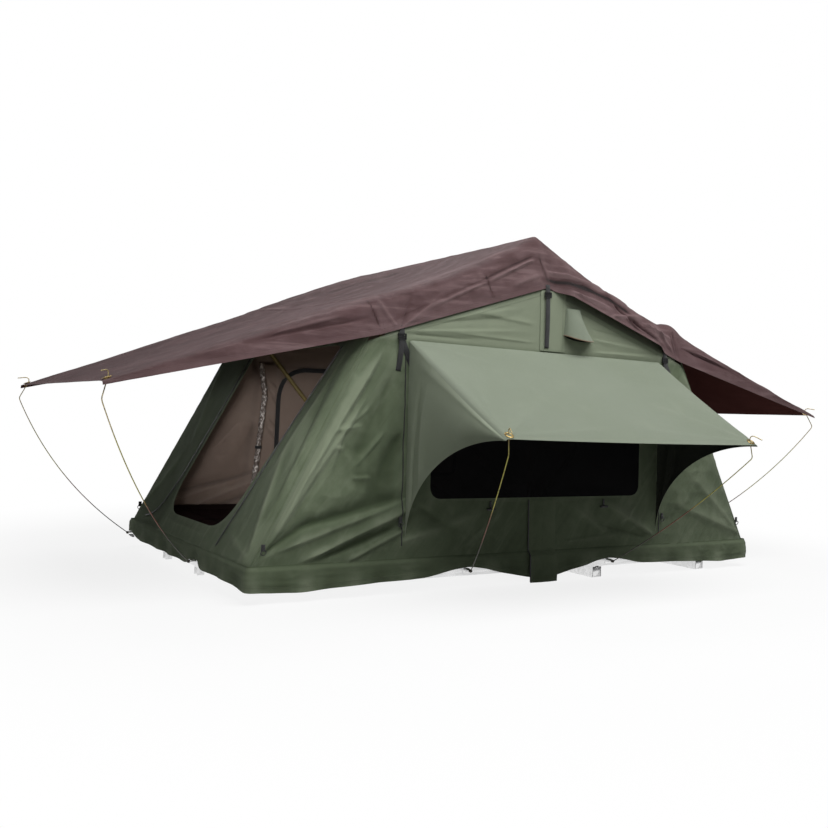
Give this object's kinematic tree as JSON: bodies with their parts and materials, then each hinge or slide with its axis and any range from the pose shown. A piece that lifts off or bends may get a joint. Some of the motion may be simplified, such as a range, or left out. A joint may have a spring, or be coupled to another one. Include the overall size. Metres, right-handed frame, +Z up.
{
  "type": "roof top tent",
  "caption": "Fold-out vehicle roof tent on a hinged two-part floor, with canvas walls over hoops, window awnings on spring rods and a rain fly that reaches past both ends.",
  "frame": {"origin": "under the fold line, midway along it, level with the underside of the mounting rails", "axes": "+X along the fixed half of the floor, Y along the fold line, +Z up"},
  "size_m": [3.3022, 2.4162, 1.3435],
  "materials": {
    "frame": "mill finish extrusion",
    "floor": "skinned sandwich panel",
    "bracket": "pressed plate",
    "fastener": "plated",
    "tube": "satin tube",
    "moulding": "moulded",
    "mattress": "sewn cover over foam",
    "canvas": "coated cotton canvas",
    "skirt": "coated cotton canvas",
    "fly": "coated oxford cloth",
    "mesh": "insect netting",
    "webbing": "woven strap",
    "rod": "yellow zinc plated spring wire"
  },
  "bodies": {
    "fixed_base": {"fixed_floor_panel": "floor", "fixed_side_rails": "frame", "fixed_end_rail": "frame", "fixed_hinge_rail": "frame", "fixed_corner_caps": "moulding", "fixed_clamp_strips": "frame", "mounting_rails": "frame", "rail_fasteners": "fastener", "fixed_hinge_brackets": "bracket", "fixed_hinge_screws": "fastener", "pivot_bolts": "fastener", "pivot_nuts": "fastener", "fixed_mattress": "mattress", "fixed_rod_sockets": "moulding", "fixed_skirt": "skirt", "fixed_side_walls": "canvas", "fixed_end_wall": "canvas", "fixed_roof": "canvas", "window_meshes": "mesh", "rain_fly": "fly", "near_awning": "canvas", "far_awning": "canvas", "centre_sleeves": "canvas", "vent_hoods": "canvas", "fly_straps": "webbing"},
    "flip_base": {"flip_floor_panel": "floor", "flip_side_rails": "frame", "flip_end_rail": "frame", "flip_hinge_rail": "frame", "flip_corner_caps": "moulding", "flip_clamp_strips": "frame", "flip_hinge_brackets": "bracket", "flip_hinge_screws": "fastener", "flip_mattress": "mattress", "flip_rod_sockets": "moulding", "ladder_brackets": "bracket", "flip_skirt": "skirt", "flip_side_walls": "canvas", "door_wall": "canvas", "flip_roof": "canvas", "door_roll": "canvas"},
    "ridge_frame": {"ridge_hoop": "tube", "ridge_hoop_feet": "moulding", "ridge_buckles": "moulding"},
    "left_frame": {"left_hoop": "tube", "left_hoop_feet": "moulding", "left_buckles": "moulding"},
    "right_frame": {"right_hoop": "tube", "right_hoop_feet": "moulding", "right_buckles": "moulding"},
    "fixed_near_window_rod": {"fixed_near_window_rod": "rod"},
    "fixed_far_window_rod": {"fixed_far_window_rod": "rod"},
    "fixed_near_end_rod": {"fixed_near_end_rod": "rod"},
    "fixed_far_end_rod": {"fixed_far_end_rod": "rod"},
    "flip_near_window_rod": {"flip_near_window_rod": "rod"},
    "flip_far_window_rod": {"flip_far_window_rod": "rod"},
    "flip_near_end_rod": {"flip_near_end_rod": "rod"},
    "flip_far_end_rod": {"flip_far_end_rod": "rod"}
  },
  "joints": [
    {"name": "base_fold", "type": "hinge", "parent": "fixed_base", "child": "flip_base", "pos_m": [0, 0, 0.215], "axis": [0, 1, 0], "range_deg": [0, 180], "deforming": ["fixed_skirt", "fixed_side_walls", "fixed_end_wall", "fixed_roof", "window_meshes", "rain_fly", "near_awning", "far_awning", "centre_sleeves", "vent_hoods", "fly_straps", "flip_skirt", "flip_side_walls", "door_wall", "flip_roof", "door_roll"]},
    {"name": "right_hoop_fold", "type": "hinge", "parent": "fixed_base", "child": "right_frame", "pos_m": [0, 0, 0.215], "axis": [0, 1, 0], "range_deg": [-0.5, 49.9]},
    {"name": "ridge_hoop_fold", "type": "hinge", "parent": "fixed_base", "child": "ridge_frame", "pos_m": [0, 0, 0.215], "axis": [0, 1, 0], "range_deg": [-0.5, 90.5]},
    {"name": "left_hoop_fold", "type": "hinge", "parent": "fixed_base", "child": "left_frame", "pos_m": [0, 0, 0.215], "axis": [0, 1, 0], "range_deg": [-0.5, 131.1]},
    {"name": "fixed_near_window_rod_swing", "type": "hinge", "parent": "fixed_base", "child": "fixed_near_window_rod", "pos_m": [0.35, -0.722, 0.066], "axis": [0, 0.7314, 0.682], "range_deg": [-0.5, 73.14]},
    {"name": "fixed_far_window_rod_swing", "type": "hinge", "parent": "fixed_base", "child": "fixed_far_window_rod", "pos_m": [0.35, 0.722, 0.066], "axis": [0, 0.7314, -0.682], "range_deg": [-0.5, 73.14]},
    {"name": "fixed_near_end_rod_swing", "type": "hinge", "parent": "fixed_base", "child": "fixed_near_end_rod", "pos_m": [1.222, -0.2, 0.066], "axis": [-0.9626, -0.264, 0.0605], "range_deg": [-0.5, 125.47]},
    {"name": "fixed_far_end_rod_swing", "type": "hinge", "parent": "fixed_base", "child": "fixed_far_end_rod", "pos_m": [1.222, 0.625, 0.066], "axis": [0.8392, 0.0285, -0.5431], "range_deg": [-0.5, 96.74]},
    {"name": "flip_near_window_rod_swing", "type": "hinge", "parent": "flip_base", "child": "flip_near_window_rod", "pos_m": [-0.35, -0.722, 0.066], "axis": [0, -0.7314, -0.682], "range_deg": [-0.5, 73.14]},
    {"name": "flip_far_window_rod_swing", "type": "hinge", "parent": "flip_base", "child": "flip_far_window_rod", "pos_m": [-0.35, 0.722, 0.066], "axis": [0, -0.7314, 0.682], "range_deg": [-0.5, 73.14]},
    {"name": "flip_near_end_rod_swing", "type": "hinge", "parent": "flip_base", "child": "flip_near_end_rod", "pos_m": [-1.222, -0.2, 0.066], "axis": [-0.9626, 0.264, -0.0605], "range_deg": [-0.5, 125.47]},
    {"name": "flip_far_end_rod_swing", "type": "hinge", "parent": "flip_base", "child": "flip_far_end_rod", "pos_m": [-1.222, 0.625, 0.066], "axis": [0.8392, -0.0285, 0.5431], "range_deg": [-0.5, 96.74]}
  ],
  "couplings": [
    {"joint": "right_hoop_fold", "follows": "base_fold", "ratio": 0.27444},
    {"joint": "ridge_hoop_fold", "follows": "base_fold", "ratio": 0.5},
    {"joint": "left_hoop_fold", "follows": "base_fold", "ratio": 0.72556},
    {"joint": "fixed_near_window_rod_swing", "follows": "base_fold", "ratio": 0.40355},
    {"joint": "fixed_far_window_rod_swing", "follows": "base_fold", "ratio": 0.40355},
    {"joint": "fixed_near_end_rod_swing", "follows": "base_fold", "ratio": 0.69427},
    {"joint": "fixed_far_end_rod_swing", "follows": "base_fold", "ratio": 0.53468},
    {"joint": "flip_near_window_rod_swing", "follows": "base_fold", "ratio": 0.40355},
    {"joint": "flip_far_window_rod_swing", "follows": "base_fold", "ratio": 0.40355},
    {"joint": "flip_near_end_rod_swing", "follows": "base_fold", "ratio": 0.69427},
    {"joint": "flip_far_end_rod_swing", "follows": "base_fold", "ratio": 0.53468}
  ]
}
